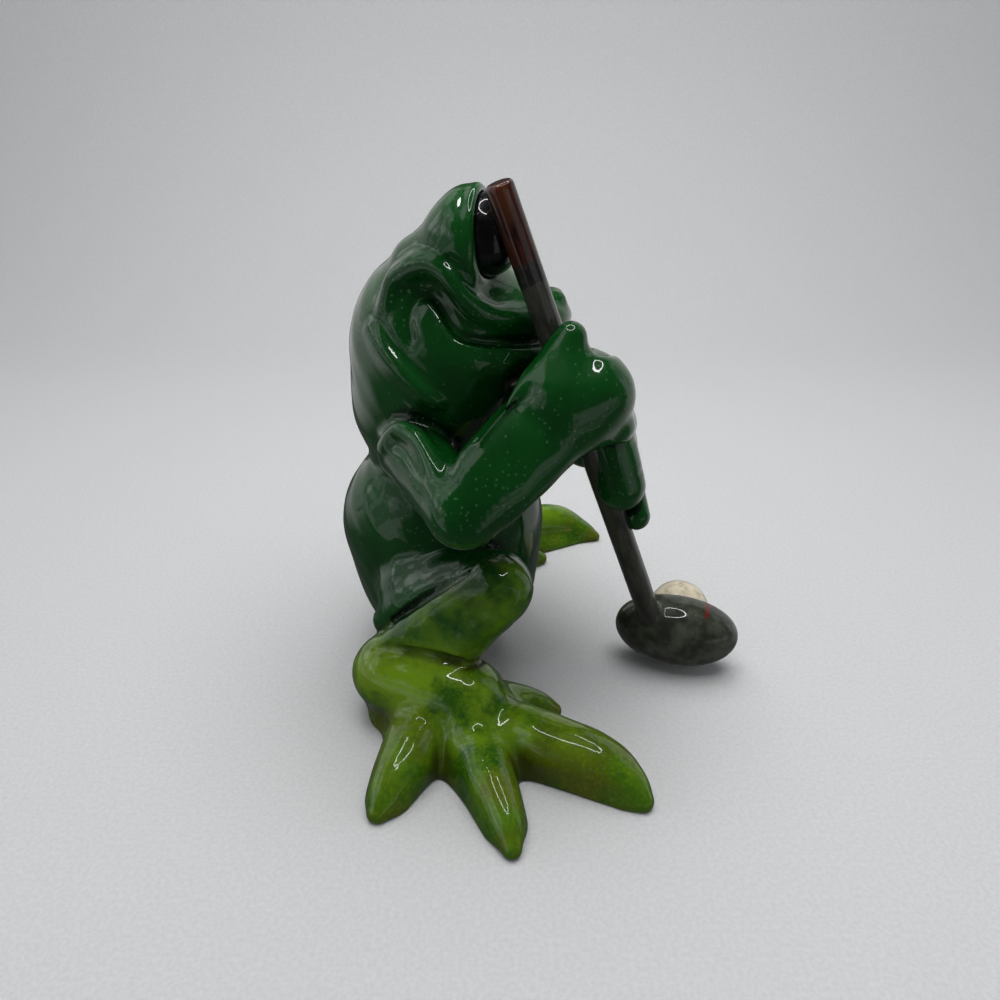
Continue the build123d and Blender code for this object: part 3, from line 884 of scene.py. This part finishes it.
def putter(p):
    past_top = PAST_TOP - (p - ROD_TOP) @ rod_way
    past_face = CLUB_FACE - (p - vec(*CLUB_MIDDLE)) @ face_way
    d = -join(-bar.measure(p), past_top, TOP_ROUND)
    club = -join(-club_egg.measure(p), past_face, FACE_ROUND)
    return join(d, club, NECK_FILLET)


p, f = draw_skin(putter, PUTTER_LOW, PUTTER_HIGH, PUTTER_STEP)
p, n = settled(putter, p)
below_top = -((p - ROD_TOP) @ rod_way)
kind = np.where(below_top < GRIP_LENGTH, 0, np.where(below_top < GRIP_LENGTH + BAND_LENGTH, 1, 2))
kind = np.where(club_egg.measure(p) < bar.measure(p), 3, kind)
add_sections("putter_", SECTIONS, p, n, f, kind[f[:, 0]], {})

# %% Ball
BALL_STEP, BALL_ROOM = 0.55, 12.5
ball = egg(ball_middle, (BALL_RADIUS,) * 3)
low, high = ball.centre - BALL_ROOM, ball.centre + BALL_ROOM
PARTS["golf_ball"] = draw_piece("ball_body", ball.measure, low, high, BALL_STEP)

# %% [markdown]
# ## Paint and lacquer
# Shader sums read best as sums. A small class wraps a socket, so that `1 - mask` or `mask * 0.4`
# adds its nodes.

# %% Sockets that take part in sums
class Wire:
    def __init__(self, tree, socket=None):
        self.tree = tree
        self.socket = socket

    def node(self, kind, settings, values, output=0):
        made = self.tree.nodes.new(kind)
        for key, value in settings.items():
            setattr(made, key, value)
        for key, value in values.items():
            if isinstance(value, Wire):
                self.tree.links.new(value.socket, made.inputs[key])
            else:
                made.inputs[key].default_value = value
        return Wire(self.tree, made.outputs[output] if made.outputs else None)

    def sum(self, operation, a, b):
        return self.node("ShaderNodeMath", {"operation": operation}, {0: a, 1: b})

    def __add__(self, other):
        return self.sum("ADD", self, other)

    def __sub__(self, other):
        return self.sum("SUBTRACT", self, other)

    def __rsub__(self, other):
        return self.sum("SUBTRACT", other, self)

    def __mul__(self, other):
        return self.sum("MULTIPLY", self, other)

    __radd__, __rmul__ = __add__, __mul__

    def between(self, low, high):
        """0 below low, 1 above high, and smooth between."""
        return self.node("ShaderNodeMapRange", {"interpolation_type": "SMOOTHSTEP"},
                         {"Value": self, "From Min": low, "From Max": high})

    def colours(self, a, b):
        """Colour a where this is 0, and colour b where it is 1."""
        return self.node("ShaderNodeMix", {"data_type": "RGBA"}, {0: self, 6: a, 7: b}, 2)


def rgb(red, green, blue):
    return (red, green, blue, 1)


# %% Noise, guides and a finished material
def start(name):
    material = bpy.data.materials.new(name)
    material.use_nodes = True
    material.node_tree.nodes.clear()
    return material, Wire(material.node_tree)


def place_of(wire):
    return wire.node("ShaderNodeTexCoord", {}, {}, 3)


def noise(wire, place, scale, detail, roughness=0.55):
    return wire.node("ShaderNodeTexNoise", {}, {
        "Vector": place, "Scale": scale, "Detail": detail, "Roughness": roughness})


def part_of(wire, place, axis):
    """The x, y or z of a place, by its number."""
    return wire.node("ShaderNodeSeparateXYZ", {}, {"Vector": place}, axis)


def guide(wire, name):
    return wire.node("ShaderNodeAttribute", {"attribute_name": name}, {}, 2)


def specks(wire, place, scale, size):
    """Small round spots, 1 inside a spot."""
    far = wire.node("ShaderNodeTexVoronoi", {}, {
        "Vector": place, "Scale": scale, "Randomness": 1.0})
    return 1 - far.between(size * 0.5, size)


PAINT_SHEEN, COAT_IOR = 0.1, 1.5


def lacquered(wire, colour, roughness, height, depth, coat_roughness=0.03):
    """Uneven paint under clear smooth lacquer."""
    bump = wire.node("ShaderNodeBump", {}, {"Height": height, "Strength": 1.0, "Distance": depth})
    shader = wire.node("ShaderNodeBsdfPrincipled", {}, {
        "Base Color": colour, "Roughness": roughness, "Normal": bump,
        "Specular IOR Level": PAINT_SHEEN, "Coat Weight": 1.0,
        "Coat Roughness": coat_roughness, "Coat IOR": COAT_IOR})
    wire.node("ShaderNodeOutputMaterial", {}, {"Surface": shader})


# %% [markdown]
# ### Emerald and lime
# The paint is brushed in thin coats: emerald over the body, lime and olive on the legs and feet.
# Shade is painted in as dark green in every fold and hollow, and as dark olive on the lime. The
# lacquer traps a few pale specks. Both finishes come from one function, so that they meet without
# a line.

# %% Frog paint
EMERALD = rgb(0.0006, 0.030, 0.003)
# The dark green that is painted as shade in the folds and hollows.
PAINTED_SHADE_GREEN = rgb(0.0003, 0.009, 0.001)
BRIGHT = rgb(0.0022, 0.050, 0.006)
LIME = rgb(0.120, 0.220, 0.005)
LEAF = rgb(0.016, 0.066, 0.002)
OLIVE = rgb(0.070, 0.085, 0.003)
# The dark olive that is painted as shade in the folds and hollows of the lime parts.
PAINTED_SHADE_OLIVE = rgb(0.030, 0.036, 0.002)
PALE_SPECK = rgb(0.05, 0.14, 0.055)


def frog_paint(name):
    material, wire = start(name)
    place = place_of(wire)
    fold, hollow, lime = guide(wire, "fold"), guide(wire, "hollow"), guide(wire, "lime")
    cloud = noise(wire, place, 38, 4)
    grain = noise(wire, place, 900, 2)
    patch = noise(wire, place, 70, 5, 0.65)
    green = cloud.between(0.35, 0.7).colours(EMERALD, BRIGHT)
    raised = part_of(wire, place, 2).between(0.004, 0.020)
    warm = (patch.between(0.34, 0.6) * (0.3 + 0.7 * raised)).colours(LEAF, LIME)
    blotch = noise(wire, place, 55, 3).between(0.45, 0.62)
    warm = (blotch * (1 - 0.7 * raised)).colours(warm, OLIVE)
    warm = (grain.between(0.45, 0.75) * 0.35).colours(warm, LIME)
    # Painted shade in the folds and hollows, dark olive on the lime parts.
    shade = fold.between(0.1, 0.8) * 0.8 + hollow.between(0.3, 1.0) * 0.25
    warm = shade.between(0.0, 1.1).colours(warm, PAINTED_SHADE_OLIVE)
    edge = (lime + (patch - 0.5) * 0.5).between(0.25, 0.75)
    # Painted shade in the folds and hollows, dark green on the green parts.
    shade = fold.between(0.08, 0.7) * 0.75 + hollow.between(0.2, 0.9) * 0.45
    green = shade.between(0.0, 1.1).colours(green, PAINTED_SHADE_GREEN)
    colour = edge.colours(green, warm)
    spots = specks(wire, place, 260, 0.16) * noise(wire, place, 60, 2).between(0.45, 0.6)
    dust = specks(wire, place, 560, 0.24) * noise(wire, place, 45, 2).between(0.38, 0.62)
    colour = (spots * 0.5 + dust * 0.45).colours(colour, PALE_SPECK)
    height = noise(wire, place, 70, 1.5) * 0.9 + spots * 0.15
    lacquered(wire, colour, 0.32, height, 0.00013)
    return material


# %% [markdown]
# ### Putter, ball and eyes
# The grip is streaked red-brown like varnished wood, the band is black, and the shaft and the head
# are grey paint, greener and mottled on the head, with one red aiming mark across its top. The
# ball is cream with a faint mottle.

# %% Grip and band
def along_bar(wire, squeeze):
    """Places turned so that Z runs along the bar, and squeezed that way for streaks."""
    angle = math.atan2(float(rod_way[0]), float(rod_way[2]))
    turned = wire.node("ShaderNodeMapping", {}, {
        "Vector": place_of(wire), "Rotation": (0, -angle, 0)})
    return wire.node("ShaderNodeMapping", {}, {"Vector": turned, "Scale": (1, 1, squeeze)})


def grip_brown():
    material, wire = start("grip_brown")
    along = along_bar(wire, 0.12)
    streak = noise(wire, along, 900, 3, 0.6)
    broad = noise(wire, along, 380, 2)
    colour = streak.between(0.35, 0.7).colours(rgb(0.006, 0.0015, 0.001), rgb(0.045, 0.008, 0.003))
    colour = (broad.between(0.5, 0.7) * 0.55).colours(colour, rgb(0.085, 0.025, 0.006))
    lacquered(wire, colour, 0.4, streak, 0.0001, 0.06)
    return material


def band_black():
    material, wire = start("band_black")
    place = place_of(wire)
    worn = noise(wire, place, 300, 3).between(0.4, 0.8)
    colour = worn.colours(rgb(0.006, 0.006, 0.006), rgb(0.02, 0.018, 0.015))
    lacquered(wire, colour, 0.4, noise(wire, place, 400, 2), 0.0001, 0.06)
    return material


# %% Shaft, head and ball
def shaft_grey():
    material, wire = start("shaft_grey")
    place = place_of(wire)
    streak = noise(wire, along_bar(wire, 0.2), 500, 3).between(0.3, 0.75)
    colour = streak.colours(rgb(0.016, 0.017, 0.012), rgb(0.040, 0.041, 0.032))
    lacquered(wire, colour, 0.4, noise(wire, place, 260, 2), 0.00012, 0.06)
    return material


MARK_FORWARD, MARK_HALF_WIDTH, MARK_EDGE = 9.3, 0.75, 0.7
MARK_LOW, MARK_HIGH, MARK_RAGGED = 9, 9.6, 0.0012


def club_grey():
    material, wire = start("club_grey")
    place = place_of(wire)
    mottle = noise(wire, place, 170, 4, 0.6)
    colour = mottle.between(0.35, 0.7).colours(rgb(0.018, 0.021, 0.014), rgb(0.056, 0.062, 0.045))
    middle = (CLUB_MIDDLE[0] * MM + SHIFT, CLUB_MIDDLE[1] * MM, CLUB_MIDDLE[2] * MM)
    own = wire.node("ShaderNodeMapping", {"vector_type": "TEXTURE"}, {
        "Vector": place, "Location": middle, "Rotation": (0, 0, CLUB_TURN)})
    x = part_of(wire, own, 0)
    z = part_of(wire, own, 2)
    ragged = (noise(wire, place, 900, 2) - 0.5) * MARK_RAGGED
    off = wire.sum("ABSOLUTE", x - MARK_FORWARD * MM + ragged, 0)
    beside = off.between(MARK_HALF_WIDTH * MM * MARK_EDGE, MARK_HALF_WIDTH * MM)
    mark = (1 - beside) * z.between(MARK_LOW * MM, MARK_HIGH * MM)
    colour = (mark * 0.9).colours(colour, rgb(0.10, 0.012, 0.008))
    lacquered(wire, colour, 0.35, noise(wire, place, 150, 2), 0.0003, 0.04)
    return material


def ball_cream():
    material, wire = start("ball_cream")
    place = place_of(wire)
    stain = noise(wire, place, 260, 4, 0.65)
    colour = stain.between(0.4, 0.75).colours(rgb(0.56, 0.50, 0.38), rgb(0.30, 0.25, 0.15))
    lacquered(wire, colour, 0.45, noise(wire, place, 220, 2), 0.0002, 0.08)
    return material


def eye_black():
    material, wire = start("eye_black")
    place = place_of(wire)
    cloud = noise(wire, place, 240, 3).between(0.35, 0.8)
    colour = cloud.colours(rgb(0.001, 0.001, 0.001), rgb(0.008, 0.008, 0.010))
    lacquered(wire, colour, 0.3, noise(wire, place, 90, 1), 0.0001, 0.02)
    return material


def dowel_steel():
    material, wire = start("dowel_steel")
    place = place_of(wire)
    brushed = noise(wire, place, 1500, 3)
    colour = brushed.between(0.3, 0.7).colours(rgb(0.42, 0.42, 0.42), rgb(0.6, 0.6, 0.6))
    bump = wire.node("ShaderNodeBump", {}, {
        "Height": brushed, "Strength": 1.0, "Distance": 0.00005})
    shader = wire.node("ShaderNodeBsdfPrincipled", {}, {
        "Base Color": colour, "Metallic": 1.0, "Roughness": 0.35, "Normal": bump})
    wire.node("ShaderNodeOutputMaterial", {}, {"Surface": shader})
    return material


# %% Give each piece its finish, its node and its body
FINISH = {
    "skin_green": frog_paint("skin_green"), "skin_lime": frog_paint("skin_lime"),
    "grip_brown": grip_brown(), "band_black": band_black(), "shaft_grey": shaft_grey(),
    "club_grey": club_grey(), "ball_cream": ball_cream(), "eye_black": eye_black(),
    "dowel_steel": dowel_steel(),
}
SLOTS = {entry["node"]: entry["material_slot"] for entry in frame["record"]["subparts"]}
for name, piece in PARTS.items():
    piece.data.materials.append(FINISH[SLOTS[name]])
    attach(piece, "root")
    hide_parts(name)
for name, node in frame["nodes"].items():
    if name not in PARTS:
        node.data.materials.clear()
        node.data.materials.append(FINISH[SLOTS[name]])
print("pieces", len(PARTS), "nodes left as they are", len(frame["nodes"]) - len(PARTS))

# %% [markdown]
# ## The light box
# The photograph was taken in a small light box. A pale sheet lies on the floor and curves up
# behind the figure, crumpled foil lines the sides, a ring of lamps hangs overhead, and the front
# is open to a dark room. That is why the lacquer is nearly black where it faces the camera, shows
# pale patches with clear edges where it mirrors the sides, and draws the ring as a small bright
# loop on every bump.
#
# Only the sheet, the ring and one soft lamp are built. The rest of the box is light without a
# shape. Rough paint gets a soft glow. A mirrored ray finds the sheet dark apart from a pale place
# at either side, and a world that is dark in front, patchy at the left and dimmer at the right.

# %% Flat sheets
FLOOR_FRONT, FLOOR_BACK, SHEET_HALF = -0.17, 0.34, 1.1
BEND_RADIUS, BEND_STEPS, SHEET_TOP = 0.25, 12, 0.9
PAPER_GLOW = 0.55


def make_sheet(name, row, half):
    """A sheet that runs along the given row of y and z, from side to side."""
    vertices = [(x, y, z) for x in (-half, half) for y, z in row]
    count = len(row)
    quads = [(k + count, k + 1 + count, k + 1, k) for k in range(count - 1)]
    mesh = bpy.data.meshes.new(name)
    mesh.from_pydata(vertices, [], quads)
    mesh.polygons.foreach_set("use_smooth", [True] * len(quads))
    sheet = add_object(name, mesh)
    sheet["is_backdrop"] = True
    return sheet


def bend_row():
    row = [(FLOOR_BACK, 0.0)]
    for k in range(1, BEND_STEPS + 1):
        turn = math.radians(90) * k / BEND_STEPS
        back, up = BEND_RADIUS * math.sin(turn), BEND_RADIUS * math.cos(turn)
        row.append((FLOOR_BACK + back, BEND_RADIUS - up))
    return row + [(FLOOR_BACK + BEND_RADIUS, SHEET_TOP)]


def paper_finish(name, strength):
    """Matt grey paper. Mirrored rays see a painted glow, dark but for a pale patch at each side.
    """
    paper, wire = start(name)
    place = place_of(wire)
    grain = noise(wire, place, 900, 2).between(0.2, 0.8)
    colour = grain.colours(rgb(0.47, 0.475, 0.48), rgb(0.53, 0.535, 0.54))
    shader = wire.node("ShaderNodeBsdfPrincipled", {}, {
        "Base Color": colour, "Roughness": 0.75, "Specular IOR Level": 0.1})
    x = part_of(wire, place, 0)
    y = part_of(wire, place, 1)
    # Painted reflection: mirrored rays see the sheet glow, dark but for a pale patch at each side.
    pale = y.between(-0.08, 0.04) * (x.between(0.05, 0.12) + (0 - x).between(0.16, 0.26))
    painted_reflection = pale.colours(rgb(0.10, 0.10, 0.10), rgb(1, 1, 1))
    dim = wire.node("ShaderNodeEmission", {}, {"Color": painted_reflection, "Strength": strength})
    mirrored = wire.node("ShaderNodeLightPath", {}, {}, 3)
    shown = wire.node("ShaderNodeMixShader", {}, {0: mirrored, 1: shader, 2: dim})
    wire.node("ShaderNodeOutputMaterial", {}, {"Surface": shown})
    return paper


sheet = make_sheet("sheet", [(FLOOR_FRONT, 0.0)] + bend_row(), SHEET_HALF)
sheet.data.materials.append(paper_finish("paper", PAPER_GLOW))

# %% Ring and soft light
RING_PLACE, RING_RADIUS, RING_TUBE, RING_GLOW = (0.0, -0.03, 0.31), 0.085, 0.0035, 20.0
SOFT_PLACE, SOFT_SIZE, SOFT_POWER = (0.0, 0.10, 0.75), 0.9, 6.5
AIM_HEIGHT = 0.06


def make_ring():
    bpy.ops.mesh.primitive_torus_add(location=RING_PLACE, major_radius=RING_RADIUS,
                                     minor_radius=RING_TUBE, major_segments=96,
                                     minor_segments=12)
    ring = bpy.context.object
    ring.name = "lamp_ring"
    glow, wire = start("glow")
    emission = wire.node("ShaderNodeEmission", {}, {"Color": rgb(1, 1, 1), "Strength": RING_GLOW})
    wire.node("ShaderNodeOutputMaterial", {}, {"Surface": emission})
    ring.data.materials.append(glow)
    ring.visible_camera = False
    ring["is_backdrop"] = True


def make_soft_light(name, place, size, power):
    """A round lamp that the lacquer doesn't mirror."""
    lamp = bpy.data.lights.new(name, "AREA")
    lamp.shape = "DISK"
    lamp.size = size
    lamp.energy = power
    made = add_object(name, lamp)
    made.location = place
    aim = Vector((0, 0, AIM_HEIGHT)) - Vector(place)
    made.rotation_euler = aim.to_track_quat("-Z", "Y").to_euler()
    made.visible_glossy = False


make_ring()
make_soft_light("overhead", SOFT_PLACE, SOFT_SIZE, SOFT_POWER)

# %% World
DARK_ROOM, FOIL_LIGHT = 0.03, 0.9


def make_world():
    """A soft glow from the sides for paint, and walls of foil for mirrored rays."""
    world = bpy.data.worlds.new("light_box")
    world.use_nodes = True
    world.node_tree.nodes.clear()
    wire = Wire(world.node_tree)
    way = wire.node("ShaderNodeTexCoord", {}, {}, 0)
    y = part_of(wire, way, 1)
    z = part_of(wire, way, 2)
    mirrored = wire.node("ShaderNodeLightPath", {}, {}, 3)
    x = part_of(wire, way, 0)
    soft = 0.14 + (1 - z.between(0.50, 0.62)) * (0.30 + 0.62 * y.between(-0.75, -0.35))
    crumpled = 0.45 + noise(wire, way, 3.5, 2).between(0.44, 0.52) * 0.55
    left_wall = (1 - x.between(-0.36, -0.30)) * z.between(0.26, 0.34) * (1 - z.between(0.80, 0.86))
    left_wall = left_wall * (y - x * 0.8).between(-0.05, 0.05)
    low_left = (1 - x.between(-0.50, -0.35)) * (1 - z.between(0.40, 0.55))
    low_left = low_left * (y - x * 1.6).between(0.0, 0.2) * 0.6
    low_front = x.between(0.30, 0.45) * (1 - y.between(-0.35, -0.15))
    low_front = low_front * (1 - z.between(0.08, 0.16)) * 0.4
    right_wall = x.between(0.24, 0.32) * y.between(0.05, 0.14) * (1 - z.between(0.70, 0.78)) * 0.6
    walls = left_wall + low_left + low_front + right_wall
    glow = soft * (1 - mirrored)
    foil = DARK_ROOM + walls * crumpled * FOIL_LIGHT
    light = glow + foil * mirrored
    background = wire.node("ShaderNodeBackground", {}, {
        "Color": rgb(0.96, 0.98, 1.0), "Strength": light})
    wire.node("ShaderNodeOutputWorld", {}, {"Surface": background})
    bpy.context.scene.world = world


make_world()

# %% Camera
CAMERA_PLACE, CAMERA_DOWN = (SHIFT, -0.228, 0.1714), 27.0
LENS, SENSOR = 28.8, 36.0
camera_data = bpy.data.cameras.new("camera")
camera_data.lens = LENS
camera_data.sensor_width = SENSOR
camera_data.clip_start = 0.01
camera = add_object("camera", camera_data)
camera.location = CAMERA_PLACE
camera.rotation_euler = (math.radians(90 - CAMERA_DOWN), 0, 0)
bpy.context.scene.camera = camera
bpy.context.scene.view_settings.view_transform = "Standard"

# %% Sizes, and the end
[[list(map(float, corner)) for corner in box] for box in (cad_box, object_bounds())]
